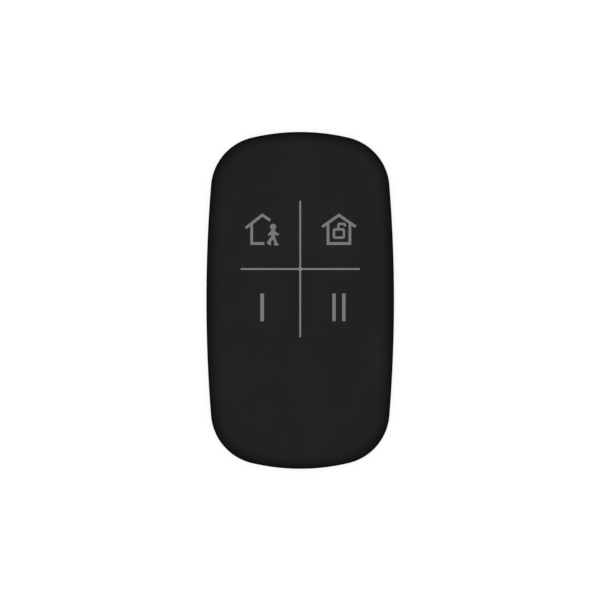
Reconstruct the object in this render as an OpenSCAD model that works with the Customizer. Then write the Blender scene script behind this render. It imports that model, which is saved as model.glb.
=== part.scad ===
// Alarm key fob with four keys, lying on its back.
// X runs across the fob, Y along it towards the lanyard end and Z out of the face.
// Sizes are in millimetres. The origin is the middle of the back face.

/* [Body] */
// Width across the bowed sides
body_w = 36; // [34.5:0.1:40]
// Length over the bowed ends
body_l = 64.6; // [63.6:0.1:72]
// Thickness from the back to the face
body_t = 12.5; // [12.2:0.1:14]
// Radius of the bowed sides, seen from the front
side_r = 275; // [180:1:400]
// Radius of the bowed ends, seen from the front
end_r = 40; // [34:0.5:60]
// Radius of the four corners, seen from the front
corner_r = 10.2; // [9:0.1:12]

/* [Edges] */
// Radius of the slow roll-off round the face
face_roll_r = 18; // [14:0.5:20]
// Slope at which the roll-off of the face runs into the edge, in degrees
face_turn = 12; // [10:0.5:13]
// Width of the round edge between the face and the sides, seen from the front
face_edge_w = 2.9; // [2.6:0.1:3.2]
// Height of that edge, seen from the side
face_edge_h = 4.6; // [3.6:0.1:4.8]
// Radius of the slow roll-off round the back
back_roll_r = 14; // [10:0.5:18]
// Slope at which the roll-off of the back runs into the edge, in degrees
back_turn = 8.2; // [7:0.1:9.5]
// Width of the round edge between the back and the sides
back_edge_w = 3.5; // [2.6:0.1:3.8]
// Height of that edge
back_edge_h = 3.5; // [2.6:0.1:3.8]

/* [Shells] */
// Thickness of the side walls
wall = 1.6; // [1.5:0.05:1.8]
// Thickness of the front skin
skin = 1.5; // [1.3:0.05:1.7]
// Thickness of the back floor
floor_t = 1.4; // [1.2:0.05:1.6]
// Radius inside the shells where the walls meet the skin and the floor
inner_r = 1.6; // [1:0.1:2]
// Height of the joint between the shells above the back
joint_z = 6.6; // [6.3:0.05:6.9]
// Width of the shadow gap along the joint
shadow_gap = 0.3; // [0.2:0.05:0.5]
// Bevel on both sides of the shadow gap
rim_bevel = 0.15; // [0.1:0.05:0.3]
// Depth of the front shell's lip below the joint
lip_h = 1; // [0.6:0.05:1.2]
// Thickness of that lip
lip_t = 0.65; // [0.5:0.05:0.75]
// Clearance between the lip and the rear shell
lip_gap = 0.1; // [0.05:0.05:0.2]

/* [Keys] */
// Width of the key field and of the grey cross
pad_w = 22.8; // [21.5:0.1:24]
// Length of the key field and of the grey cross
pad_l = 26.1; // [25:0.1:27]
// Height of the cross above the middle of the body
pad_y = 6; // [5:0.05:7]
// Radius of the outer corners of the key field
pad_corner_r = 6; // [4:0.1:8]
// Distance from the upright bar of the cross to the middle of a switch
key_x = 7.35; // [6.5:0.05:8]
// Distance from the level bar of the cross to the middle of a switch
key_y = 7.45; // [6.5:0.05:8.5]
// Clearance round each key
key_gap = 0.1; // [0.06:0.02:0.16]
// Travel of a key
key_travel = 0.4; // [0.2:0.05:0.4]
// Width of the flange that holds a key under the skin
flange_w = 0.8; // [0.5:0.1:1]
// Thickness of that flange
flange_t = 0.9; // [0.6:0.05:0.95]
// Thickness of the top and the walls of a key
key_wall = 1.1; // [0.8:0.05:1.3]
// Thickness of the ribs inside a key
key_rib_t = 0.8; // [0.6:0.1:1]
// Diameter of the plunger under each key
plunger_d = 3.4; // [3:0.1:3.8]

/* [Light guide] */
// Width of the bars of the grey cross
cross_w = 0.34; // [0.3:0.02:0.8]
// Fillet where the bars of the cross meet
cross_fillet_r = 0.35; // [0.25:0.05:0.6]
// Thickness of the plate under the keys
guide_t = 0.8; // [0.6:0.05:0.9]
// Diameter of the stem over the status light
guide_stem_d = 3; // [2.4:0.1:3.6]
// Thickness of the frame that carries the plate
frame_t = 1.2; // [1:0.1:1.5]
// Diameter of the stakes through the plate
stake_d = 0.8; // [0.6:0.05:0.9]

/* [Board and switches] */
// Thickness of the circuit board
board_t = 1; // [0.8:0.05:1.1]
// Clearance between the board and the walls
board_gap = 0.4; // [0.3:0.05:0.7]
// Width of a switch
switch_w = 5.2; // [4.8:0.1:5.6]
// Height of a switch base
switch_base_h = 1.2; // [1.15:0.05:1.3]
// Thickness of a switch's steel top plate
switch_plate_t = 0.3; // [0.2:0.05:0.35]
// Diameter of a switch stem
stem_d = 2.6; // [2.2:0.1:2.8]
// Height of a stem above its plate
stem_rise = 0.5; // [0.45:0.05:0.6]
// Diameter of a snap dome and of the collar on a stem
dome_d = 3.2; // [3.2:0.1:3.6]
// Thickness of a snap dome
dome_t = 0.08; // [0.06:0.01:0.1]

/* [Cell] */
// Diameter of the coin cell
cell_d = 20; // [16:0.1:20.4]
// Thickness of the coin cell
cell_t = 3.2; // [3:0.05:3.3]
// Place of the cell along the body
cell_y = -11; // [-11.4:0.1:-10]
// Thickness of the strap clip
clip_t = 0.3; // [0.2:0.05:0.4]
// Width of the strap clip
clip_w = 7; // [5:0.1:9]
// Height of the contact between the cell and the board
contact_h = 0.4; // [0.3:0.05:0.5]

/* [Lanyard notch] */
// Diameter of the lanyard pin
pin_d = 2; // [1.6:0.1:2.2]
// Height of the pin's axis above the back
pin_z = 2.6; // [2.4:0.05:2.8]
// Distance of the pin's axis from the end of the body
pin_inset = 2.3; // [2.1:0.05:2.6]
// Length of pin seated at each end
pin_seat = 1.5; // [1:0.1:1.8]
// Width of the notch
notch_w = 10; // [8:0.1:10.6]
// Free space between the pin and the bottom of the notch
notch_gap = 3.2; // [2.6:0.1:3.4]
// Thickness of the wall behind the notch
notch_wall = 1.2; // [1:0.1:1.4]
// Thickness of the roof over the notch
notch_roof = 0.85; // [0.7:0.05:1.1]

/* [Screws] */
// Diameter of the screw shanks
screw_d = 2; // [1.6:0.1:2.2]
// Diameter of the screw heads
screw_head_d = 3.6; // [3.2:0.1:3.8]
// Height of the screw heads
screw_head_h = 1.3; // [1:0.1:1.5]
// Depth of the heads below the back
screw_sink = 0.7; // [0.4:0.1:0.9]
// Length of thread held in the front shell
screw_bite = 3; // [2:0.1:3.2]
// Distance of the upper screws from the sides of the body
screw_side = 7.6; // [7:0.1:8]
// Distance of the upper screws from the upper end
screw_end = 8.9; // [8.4:0.1:9.4]
// Distance of the lower screw from the lower end
screw_foot = 6.5; // [6.3:0.1:6.7]

/* [Hidden] */
$fn = 72;

// Steps along the arcs of the outline, of the edges and of rounded plates
side_steps = 4;
corner_steps = 12;
end_steps = 5;
roll_steps = 3;
edge_steps = 8;
inner_steps = 3;
arc_steps = 8;

// Overlap that lets a cut or a joined shape run past a face
over = 0.5;

// Clearances
flange_gap = 0.3;
plunger_gap = 0.4;
guide_gap = 0.3;
stem_gap = 0.1;
seat_gap = 0.02;
bore_gap = 0.15;
cell_gap = 0.3;
led_gap = 0.3;
head_gap = 0.2;

// Keys by their side of the cross
arm = [-1, 1];
disarm = [1, 1];
function_one = [-1, -1];
function_two = [1, -1];
places = [arm, disarm, function_one, function_two];

// Heights of the joint between the shells
front_rim_z = joint_z + shadow_gap / 2;
rear_rim_z = joint_z - shadow_gap / 2;
lip_z = joint_z - lip_h;
ceiling_z = body_t - skin;

// Heights of the stack on the back floor
cell_z = floor_t + clip_t;
board_z = cell_z + cell_t + contact_h;
board_top_z = board_z + board_t;
plate_z = board_top_z + switch_base_h;
stem_top_z = plate_z + switch_plate_t + stem_rise;

// Heights of the stack under the skin
flange_z = ceiling_z - flange_t;
guide_top_z = flange_z - key_travel - guide_gap;
guide_z = guide_top_z - guide_t;

// Inside of a switch: floor, dome, collar
well_floor = 0.3;
collar_h = 0.4;
collar_play = 0.05;
collar_z = plate_z - collar_play - collar_h;
well_z = board_top_z + well_floor;
dome_h = collar_z - well_z;
well_d = dome_d + 2 * stem_gap;

// Corners of the keys beside the cross
key_in = cross_w / 2 + key_gap;
key_tip_r = cross_fillet_r - key_gap;
key_side_r = 0.2;

// Half sizes of the frame that surrounds the flanges
frame_x = pad_w / 2 + flange_w + flange_gap;
frame_y = pad_l / 2 + flange_w + flange_gap;
frame_r = pad_corner_r + flange_w + flange_gap;
stake_x = frame_x + frame_t / 2;
stake_y = pad_l / 4;

// Lanyard notch
pin_y = body_l / 2 - pin_inset;
notch_y = pin_y - pin_d / 2 - notch_gap;
notch_corner_r = 1.2;
notch_top_z = rear_rim_z - notch_roof;
pin_end_wall = 0.7;
block_x = notch_w / 2 + pin_seat + pin_end_wall;
block_y = notch_y - notch_wall;

// Screws and their bosses
upper_screw_x = body_w / 2 - screw_side;
upper_screw_y = body_l / 2 - screw_end;
lower_screw_y = screw_foot - body_l / 2;
screw_places = [[-upper_screw_x, upper_screw_y], [upper_screw_x, upper_screw_y], [0, lower_screw_y]];
recess_wall = 0.8;
thread_wall = 1.3;
recess_d = screw_head_d + 2 * head_gap;
rear_boss_d = recess_d + 2 * recess_wall;
front_boss_d = screw_d + 2 * thread_wall;
head_top_z = screw_sink + screw_head_h;

// Cell holder
cell_wall = 1.2;
cell_wall_h = 2.8;
clip_foot = 2.2;
contact_t = 0.2;

// Small parts on the board
led_w = 1.6;
led_h = 0.7;
led_lens_d = 1.3;
chip_w = 5;
chip_h = 0.9;
chip_y = -9;
crystal_x = 6;
crystal_w = 3.2;
crystal_l = 2.5;
crystal_h = 0.8;
crystal_corner_r = 0.4;
part_l = 1.6;
part_w = 0.8;
part_h = 0.6;
part_gap = 0.9;
part_from_chip = 2.2;
parts_in_row = 4;
part_rows = 2;
trace_w = 1;
trace_t = 0.1;
trace_from_edge = 0.8;

// Colours
shell_colour = "#232426";
key_colour = "#27282a";
guide_colour = "#7b7c7e";
steel_colour = "#b9bcc0";
switch_colour = "#1b1c1e";
stem_colour = "#d8d4c8";
board_colour = "#1f5a3c";

function unit(a) = [cos(a), sin(a)];

// Outline of the body: side, corner and end arcs that run into one another.
// The middle of a corner arc lies where circles about the side's and the end's middles cross.
side_c = [body_w / 2 - side_r, 0];
end_c = [0, body_l / 2 - end_r];
to_corner_side = side_r - corner_r;
to_corner_end = end_r - corner_r;
between = norm(end_c - side_c);
heading = (end_c - side_c) / between;
along = (to_corner_side ^ 2 - to_corner_end ^ 2 + between ^ 2) / (2 * between);
across = sqrt(to_corner_side ^ 2 - along ^ 2);
corner_c = side_c + along * heading + across * [-heading.y, heading.x];
side_a = atan2(corner_c.y - side_c.y, corner_c.x - side_c.x);
end_a = atan2(corner_c.y - end_c.y, corner_c.x - end_c.x);

// One quarter of the outline, set in from the edge
function quarter(inset) = concat(
    [for (k = [0:side_steps - 1]) side_c + (side_r - inset) * unit(side_a * k / side_steps)],
    [for (k = [0:corner_steps - 1])
        corner_c + (corner_r - inset) * unit(side_a + (end_a - side_a) * k / corner_steps)],
    [for (k = [0:end_steps]) end_c + (end_r - inset) * unit(end_a + (90 - end_a) * k / end_steps)]
);

// The whole outline, anticlockwise from the middle of the right side
function outline(inset) =
    let (q = quarter(inset), last = len(q) - 1)
    concat(
        [for (k = [0:last - 1]) q[k]],
        [for (k = [last:-1:1]) [-q[k].x, q[k].y]],
        [for (k = [0:last - 1]) -q[k]],
        [for (k = [last:-1:1]) [q[k].x, -q[k].y]]
    );

// Edge profile as [inset, drop]: a slow roll-off that runs into a quarter of an ellipse without a kink
function rolled_edge(edge_w, edge_h, roll_r, turn) =
    let (
        start = atan(edge_w / edge_h * tan(turn)),
        flat_from = edge_w * (1 - sin(start)) + roll_r * sin(turn),
        roll_drop = roll_r * (1 - cos(turn))
    )
    concat(
        [for (k = [0:roll_steps - 1])
            let (a = turn * k / roll_steps) [flat_from - roll_r * sin(a), roll_r * (1 - cos(a))]],
        [for (k = [0:edge_steps])
            let (a = start + (90 - start) * k / edge_steps)
            [edge_w * (1 - sin(a)), roll_drop + edge_h * (cos(start) - cos(a))]]
    );

// Inner fillet between a wall and a flat as [inset, drop], from the flat to the wall
inner_fillet = [for (k = [0:inner_steps])
    let (a = 90 * k / inner_steps) [wall + inner_r * (1 - sin(a)), inner_r * (1 - cos(a))]];

function reversed(list) = [for (k = [len(list) - 1:-1:0]) list[k]];

// Solid whose outline follows a path of [inset, height], from its lowest flat to its highest
module loft(path) {
    rings = [for (p = path) [for (q = outline(p[0])) [q.x, q.y, p[1]]]];
    n = len(rings[0]);
    top = n * (len(path) - 1);
    floor_face = [for (k = [0:n - 1]) k];
    top_face = [for (k = [n - 1:-1:0]) top + k];
    bands = [for (j = [0:len(path) - 2]) for (k = [0:n - 1])
        let (next = (k + 1) % n)
        [j * n + k, (j + 1) * n + k, (j + 1) * n + next, j * n + next]];
    polyhedron([for (r = rings) each r], concat([floor_face], bands, [top_face]));
}

// Points of a quarter turn and of a rectangle with four corner radii
function quarter_turn(centre, r, from) =
    [for (k = [0:arc_steps]) centre + r * unit(from + 90 * k / arc_steps)];
function round_rect(low, high, r) = concat(
    quarter_turn([low.x + r[0], low.y + r[0]], r[0], 180),
    quarter_turn([high.x - r[1], low.y + r[1]], r[1], 270),
    quarter_turn([high.x - r[2], high.y - r[2]], r[2], 0),
    quarter_turn([low.x + r[3], high.y - r[3]], r[3], 90)
);

// Prism between two heights
module between_heights(low, high) {
    translate([0, 0, low]) linear_extrude(high - low) children();
}

// Children at the middle of the key field, and at one key's switch
module at_pad() {
    translate([0, pad_y, 0]) children();
}
module at_switch(place) {
    translate([place.x * key_x, pad_y + place.y * key_y, 0]) children();
}

// Rounded plate about the middle of the key field
module pad_plate(half_x, half_y, r) {
    polygon(round_rect([-half_x, -half_y], [half_x, half_y], [r, r, r, r]));
}

// Outline of the frame and of the plate that it carries
module frame_outline() {
    pad_plate(frame_x + frame_t, frame_y + frame_t, frame_r + frame_t);
}

module stakes(d, low, high) {
    for (sx = [-1, 1], sy = [-1, 1])
        translate([sx * stake_x, sy * stake_y, low]) cylinder(d = d, h = high - low);
}

module at_screws(low, high, d) {
    for (p = screw_places)
        translate([p.x, p.y, low]) cylinder(d = d, h = high - low);
}

// Frame, stakes and bosses inside the front shell
module front_fittings() {
    at_pad() {
        between_heights(guide_top_z, ceiling_z + over) difference() {
            frame_outline();
            pad_plate(frame_x, frame_y, frame_r);
        }
        stakes(stake_d, guide_z - guide_gap, guide_top_z + over);
    }
    at_screws(board_top_z, ceiling_z + over, front_boss_d);
}

module front_cover() {
    face = rolled_edge(face_edge_w, face_edge_h, face_roll_r, face_turn);
    outer = concat(
        [[wall - lip_t, lip_z], [wall - lip_t, front_rim_z]],
        [[rim_bevel, front_rim_z], [0, front_rim_z + rim_bevel]],
        [for (p = reversed(face)) [p[0], body_t - p[1]]]
    );
    hollow = concat(
        [[wall, lip_z - over]],
        [for (p = reversed(inner_fillet)) [p[0], ceiling_z - p[1]]]
    );
    color(shell_colour) difference() {
        loft(outer);
        difference() {
            loft(hollow);
            front_fittings();
        }
        at_pad() between_heights(flange_z, body_t + over)
            pad_plate(pad_w / 2 + key_gap, pad_l / 2 + key_gap, pad_corner_r + key_gap);
        at_screws(board_top_z - over, board_top_z + screw_bite + over, screw_d + 2 * seat_gap);
        translate([-block_x - lip_gap, block_y - lip_gap, lip_z - over])
            cube([2 * (block_x + lip_gap), body_l / 2 - block_y, rear_rim_z - lip_z + over]);
    }
}

// Cell holder, switch posts, screw bosses and notch block on the back floor
module rear_fittings() {
    difference() {
        union() {
            between_heights(0, floor_t + cell_wall_h)
                translate([0, cell_y]) circle(d = cell_d + 2 * (cell_gap + cell_wall));
            for (place = places)
                at_switch(place) cylinder(d = plunger_d, h = board_z);
        }
        translate([0, cell_y, floor_t]) {
            cylinder(d = cell_d + 2 * cell_gap, h = board_z);
            translate([-body_w / 2, -clip_w / 2 - cell_gap, 0])
                cube([body_w, clip_w + 2 * cell_gap, board_z]);
        }
    }
    at_screws(0, board_z, rear_boss_d);
    translate([-block_x, block_y, 0]) cube([2 * block_x, body_l / 2 - block_y, joint_z + over]);
}

module rear_cover() {
    back = rolled_edge(back_edge_w, back_edge_h, back_roll_r, back_turn);
    outer = concat(back, [[0, rear_rim_z - rim_bevel], [rim_bevel, rear_rim_z]]);
    ledge = wall - lip_t - lip_gap;
    hollow = concat(
        [for (p = inner_fillet) [p[0], floor_t + p[1]]],
        [[wall, lip_z], [ledge, lip_z], [ledge, joint_z + over]]
    );
    notch = round_rect([-notch_w / 2, notch_y], [notch_w / 2, body_l / 2 + 2 * notch_corner_r],
        [for (k = [0:3]) notch_corner_r]);
    color(shell_colour) difference() {
        loft(outer);
        difference() {
            loft(hollow);
            rear_fittings();
        }
        between_heights(-over, notch_top_z) polygon(notch);
        translate([0, pin_y, pin_z]) rotate([0, 90, 0])
            cylinder(d = pin_d + 2 * seat_gap, h = notch_w + 2 * pin_seat, center = true);
        at_screws(-over, head_top_z, recess_d);
        at_screws(0, board_z + over, screw_d + 2 * bore_gap);
    }
}

// Grey cross between the keys, the plate below it and the stem over the status light
module light_guide() {
    fillet_box = cross_w + 2 * cross_fillet_r;
    color(guide_colour) at_pad() {
        difference() {
            union() {
                between_heights(guide_z, guide_top_z) difference() {
                    frame_outline();
                    for (p = screw_places)
                        translate([p.x, p.y - pad_y]) circle(d = front_boss_d + 2 * guide_gap);
                }
                between_heights(guide_top_z - guide_t / 2, body_t) {
                    square([pad_w, cross_w], center = true);
                    square([cross_w, pad_l], center = true);
                    difference() {
                        square(fillet_box, center = true);
                        for (place = places) translate(place * fillet_box / 2) circle(r = cross_fillet_r);
                    }
                }
                translate([0, 0, board_top_z + led_h + led_gap])
                    cylinder(d = guide_stem_d, h = guide_top_z - board_top_z - led_h - led_gap);
            }
            for (place = places)
                translate([place.x * key_x, place.y * key_y, guide_z - over])
                    cylinder(d = plunger_d + 2 * plunger_gap, h = guide_t + over + guide_gap);
            stakes(stake_d + 2 * seat_gap, guide_z - over, guide_top_z + guide_gap);
        }
    }
}

// Points of a key's outline in its own quarter of the field
function key_points(place, inset, outset) =
    let (tip = max(key_tip_r, inset), side = max(key_side_r, inset), outer = pad_corner_r - inset + outset)
    [for (p = round_rect([key_in + inset, key_in + inset],
        [pad_w / 2 - inset + outset, pad_l / 2 - inset + outset], [tip, side, outer, side]))
        [place.x * p.x, place.y * p.y]];

// One hollow key: top and walls, flange, ribs and plunger
module key(place) {
    roof_z = body_t - key_wall;
    color(key_colour) {
        difference() {
            at_pad() {
                between_heights(flange_z, body_t) polygon(key_points(place, 0, 0));
                between_heights(flange_z, ceiling_z) polygon(key_points(place, 0, flange_w));
            }
            difference() {
                at_pad() between_heights(flange_z - over, roof_z) polygon(key_points(place, key_wall, 0));
                at_switch(place) {
                    cylinder(d = plunger_d, h = body_t);
                    translate([-pad_w / 2, -key_rib_t / 2, 0]) cube([pad_w, key_rib_t, body_t]);
                    translate([-key_rib_t / 2, -pad_l / 2, 0]) cube([key_rib_t, pad_l, body_t]);
                }
            }
        }
        at_switch(place) translate([0, 0, stem_top_z]) cylinder(d = plunger_d, h = flange_z - stem_top_z);
    }
}

// Stem of a switch, with the collar that its plate holds down
module switch_stem(place) {
    color(stem_colour) at_switch(place) translate([0, 0, collar_z]) {
        cylinder(d = dome_d, h = collar_h);
        cylinder(d = stem_d, h = stem_top_z - collar_z);
    }
}

// Snap dome of a switch: a thin cap of a sphere
module snap_dome(place) {
    sphere_r = ((dome_d / 2) ^ 2 + dome_h ^ 2) / (2 * dome_h);
    color(steel_colour) at_switch(place) translate([0, 0, well_z]) rotate_extrude() intersection() {
        translate([0, dome_h - sphere_r]) difference() {
            circle(r = sphere_r);
            circle(r = sphere_r - dome_t);
        }
        square([dome_d, dome_h + over]);
    }
}

module switch_plate(place) {
    half = switch_w / 2;
    corner = 0.6;
    color(steel_colour) at_switch(place) between_heights(plate_z, plate_z + switch_plate_t) difference() {
        polygon(round_rect([-half, -half], [half, half], [for (k = [0:3]) corner]));
        circle(d = stem_d + 2 * stem_gap);
    }
}

// Base of a switch, with a well for the dome and four feet on the board
module switch_base(place) {
    foot_l = 0.7;
    foot_w = 0.9;
    foot_t = 0.2;
    foot_y = switch_w / 2 - foot_w;
    color(switch_colour) at_switch(place) translate([0, 0, board_top_z]) difference() {
        union() {
            translate([-switch_w / 2, -switch_w / 2, 0]) cube([switch_w, switch_w, switch_base_h]);
            for (sy = [-1, 1])
                translate([-switch_w / 2 - foot_l, sy * foot_y - foot_w / 2, 0])
                    cube([switch_w + 2 * foot_l, foot_w, foot_t]);
        }
        translate([0, 0, well_floor]) cylinder(d = well_d, h = switch_base_h);
    }
}

module circuit_board() {
    color(board_colour) between_heights(board_z, board_top_z) difference() {
        polygon(outline(wall + board_gap));
        translate([-block_x - board_gap, block_y - board_gap])
            square([2 * (block_x + board_gap), body_l / 2]);
        for (p = screw_places) translate(p) circle(d = screw_d + 2 * bore_gap);
    }
}

// Status light below the stem of the light guide
module status_led() {
    base_h = led_h / 2;
    color("#e9e6da") translate([0, pad_y, board_top_z]) {
        translate([-led_w / 2, -led_w / 2, 0]) cube([led_w, led_w, base_h]);
        cylinder(d = led_lens_d, h = led_h);
    }
}

module radio_chip() {
    mark_d = 0.7;
    mark_depth = 0.1;
    mark_at = chip_w / 2 - mark_d;
    color("#1c1d20") translate([0, chip_y, board_top_z]) difference() {
        translate([-chip_w / 2, -chip_w / 2, 0]) cube([chip_w, chip_w, chip_h]);
        translate([-mark_at, mark_at, chip_h - mark_depth]) cylinder(d = mark_d, h = chip_h);
    }
}

module crystal() {
    half = [crystal_w, crystal_l] / 2;
    color(steel_colour) between_heights(board_top_z, board_top_z + crystal_h) translate([crystal_x, chip_y])
        polygon(round_rect(-half, half, [for (k = [0:3]) crystal_corner_r]));
}

// Small chip parts in rows beside the radio chip
module chip_parts() {
    first_x = -chip_w / 2 - part_from_chip - part_l;
    first_y = chip_y + chip_w / 2 - part_w;
    color("#8a6f4d") for (row = [0:part_rows - 1], k = [0:parts_in_row - 1])
        translate([first_x - row * (part_l + part_gap), first_y - k * (part_w + part_gap), board_top_z])
            cube([part_l, part_w, part_h]);
}

// Printed antenna round the lower end of the board
module antenna() {
    edge = wall + board_gap + trace_from_edge;
    color("#b87a3d") between_heights(board_top_z, board_top_z + trace_t) intersection() {
        difference() {
            polygon(outline(edge));
            polygon(outline(edge + trace_w));
        }
        translate([-body_w / 2, -body_l / 2]) square([body_w, body_l / 2 + chip_y]);
    }
}

// Coin cell with its can down and its smaller cap up
module coin_cell() {
    edge = 0.4;
    cap_h = 0.5;
    cap_inset = 1.2;
    can_r = cell_d / 2;
    color(steel_colour) translate([0, cell_y, cell_z]) rotate_extrude() polygon([
        [0, 0], [can_r - edge, 0], [can_r, edge], [can_r, cell_t - cap_h],
        [can_r - cap_inset, cell_t - cap_h], [can_r - cap_inset, cell_t], [0, cell_t]
    ]);
}

// Strap under the cell, with legs up to feet on the board
module cell_clip() {
    leg = cell_d / 2 + cell_gap;
    outside = leg + clip_t;
    foot = outside + clip_foot;
    profile = [
        [-foot, board_z], [-foot, board_z - clip_t], [-outside, board_z - clip_t], [-outside, floor_t],
        [outside, floor_t], [outside, board_z - clip_t], [foot, board_z - clip_t], [foot, board_z],
        [leg, board_z], [leg, cell_z], [-leg, cell_z], [-leg, board_z]
    ];
    color(steel_colour) translate([0, cell_y + clip_w / 2, 0]) rotate([90, 0, 0])
        linear_extrude(clip_w) polygon(profile);
}

// Contact plate under the board, with bumps that press on the cell's cap
module cell_contact() {
    plate_w = 8;
    plate_l = 5;
    bump_d = 1.4;
    color("#c9a94f") translate([0, cell_y, 0]) {
        translate([-plate_w / 2, -plate_l / 2, board_z - contact_t]) cube([plate_w, plate_l, contact_t]);
        for (sx = [-1, 0, 1])
            translate([sx * plate_w / 3, 0, board_z - contact_h]) cylinder(d = bump_d, h = contact_h);
    }
}

module lanyard_pin() {
    color(steel_colour) translate([0, pin_y, pin_z]) rotate([0, 90, 0])
        cylinder(d = pin_d, h = notch_w + 2 * pin_seat - 2 * seat_gap, center = true);
}

module cover_screws() {
    color(steel_colour) {
        at_screws(screw_sink, head_top_z, screw_head_d);
        at_screws(screw_sink, board_top_z + screw_bite, screw_d);
    }
}

// Pieces of the four keys
module arm_key() {
    key(arm);
}
module disarm_key() {
    key(disarm);
}
module function_one_key() {
    key(function_one);
}
module function_two_key() {
    key(function_two);
}
module arm_stem() {
    switch_stem(arm);
}
module disarm_stem() {
    switch_stem(disarm);
}
module function_one_stem() {
    switch_stem(function_one);
}
module function_two_stem() {
    switch_stem(function_two);
}
module arm_dome() {
    snap_dome(arm);
}
module disarm_dome() {
    snap_dome(disarm);
}
module function_one_dome() {
    snap_dome(function_one);
}
module function_two_dome() {
    snap_dome(function_two);
}
module arm_switch_plate() {
    switch_plate(arm);
}
module disarm_switch_plate() {
    switch_plate(disarm);
}
module function_one_switch_plate() {
    switch_plate(function_one);
}
module function_two_switch_plate() {
    switch_plate(function_two);
}
module arm_switch_base() {
    switch_base(arm);
}
module disarm_switch_base() {
    switch_base(disarm);
}
module function_one_switch_base() {
    switch_base(function_one);
}
module function_two_switch_base() {
    switch_base(function_two);
}

front_cover();
rear_cover();
light_guide();
arm_key();
disarm_key();
function_one_key();
function_two_key();
arm_stem();
disarm_stem();
function_one_stem();
function_two_stem();
arm_dome();
disarm_dome();
function_one_dome();
function_two_dome();
arm_switch_plate();
disarm_switch_plate();
function_one_switch_plate();
function_two_switch_plate();
arm_switch_base();
disarm_switch_base();
function_one_switch_base();
function_two_switch_base();
circuit_board();
status_led();
radio_chip();
crystal();
chip_parts();
antenna();
coin_cell();
cell_clip();
cell_contact();
lanyard_pin();
cover_screws();
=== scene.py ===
import math

import bpy
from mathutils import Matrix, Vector


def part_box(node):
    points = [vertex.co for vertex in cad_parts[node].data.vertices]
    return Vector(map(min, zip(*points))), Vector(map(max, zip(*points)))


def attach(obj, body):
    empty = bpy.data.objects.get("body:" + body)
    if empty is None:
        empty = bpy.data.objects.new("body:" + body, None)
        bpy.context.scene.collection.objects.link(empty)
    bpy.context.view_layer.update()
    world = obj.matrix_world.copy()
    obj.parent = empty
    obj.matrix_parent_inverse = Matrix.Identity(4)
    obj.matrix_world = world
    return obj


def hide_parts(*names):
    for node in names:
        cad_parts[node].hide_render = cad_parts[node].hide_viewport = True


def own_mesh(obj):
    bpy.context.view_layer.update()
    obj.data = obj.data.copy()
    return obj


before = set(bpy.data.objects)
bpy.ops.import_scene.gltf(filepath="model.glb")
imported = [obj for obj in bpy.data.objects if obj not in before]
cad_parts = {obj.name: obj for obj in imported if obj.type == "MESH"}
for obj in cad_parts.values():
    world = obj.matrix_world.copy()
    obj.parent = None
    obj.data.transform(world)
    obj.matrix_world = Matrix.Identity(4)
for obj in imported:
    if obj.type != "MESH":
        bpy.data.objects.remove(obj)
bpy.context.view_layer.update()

# Alarm key fob on its back: X across it, Y towards its lanyard end, Z out of its face.
# Sizes are in metres.
mm = 0.001

# Outline of the body, from the frame's half sizes and three radii
half_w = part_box("front_cover")[1].x
half_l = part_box("front_cover")[1].y
side_r, end_r, corner_r = 275 * mm, 40 * mm, 10.2 * mm
side_mid = Vector((half_w - side_r, 0))
end_mid = Vector((0, half_l - end_r))
mid_gap = (end_mid - side_mid).length
heading = (end_mid - side_mid) / mid_gap
along = ((side_r - corner_r) ** 2 - (end_r - corner_r) ** 2 + mid_gap ** 2) / (2 * mid_gap)
across = math.sqrt((side_r - corner_r) ** 2 - along ** 2)
corner_mid = side_mid + along * heading + across * Vector((-heading.y, heading.x))
side_turn = math.atan2(corner_mid.y - side_mid.y, corner_mid.x - side_mid.x)
end_from = math.atan2(corner_mid.y - end_mid.y, corner_mid.x - end_mid.x)

# Rolled edges of the face and of the back: width and height of the edge, radius of the
# roll-off between edge and flat, and the slope at which edge and roll-off meet
face_edge = (2.9 * mm, 4.6 * mm, 18 * mm, math.radians(12))
back_edge = (3.5 * mm, 3.5 * mm, 14 * mm, math.radians(8.2))
flat_ring = 0.2 * mm

# Heights
cross_rise, ink_rise, ink_root = 0.012 * mm, 0.009 * mm, 0.02 * mm
shadow_gap, lip_h, skin_t = 0.3 * mm, 1 * mm, 1.5 * mm
cross_top_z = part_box("light_guide")[1].z
face_z = cross_top_z - cross_rise
ink_low_z, ink_top_z = face_z - ink_root, face_z + ink_rise
ink_h = ink_top_z - ink_low_z
joint_z = 6.6 * mm
front_rim_z, rear_rim_z = joint_z + shadow_gap / 2, joint_z - shadow_gap / 2
lip_z = joint_z - lip_h
ceiling_z = cross_top_z - skin_t
floor_z, floor_root = 1.4 * mm, 0.1 * mm
board_low_z, board_top_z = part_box("circuit_board")[0].z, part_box("circuit_board")[1].z

# Shells
wall, inner_r, rim_bevel = 1.6 * mm, 1.6 * mm, 0.15 * mm
lip_t, lip_gap = 0.65 * mm, 0.1 * mm
seam_bevel = 0.02 * mm

# Play of what is pressed in, and how far a cutter reaches past what it cuts
snug, cut = 0.02 * mm, 0.5 * mm

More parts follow.
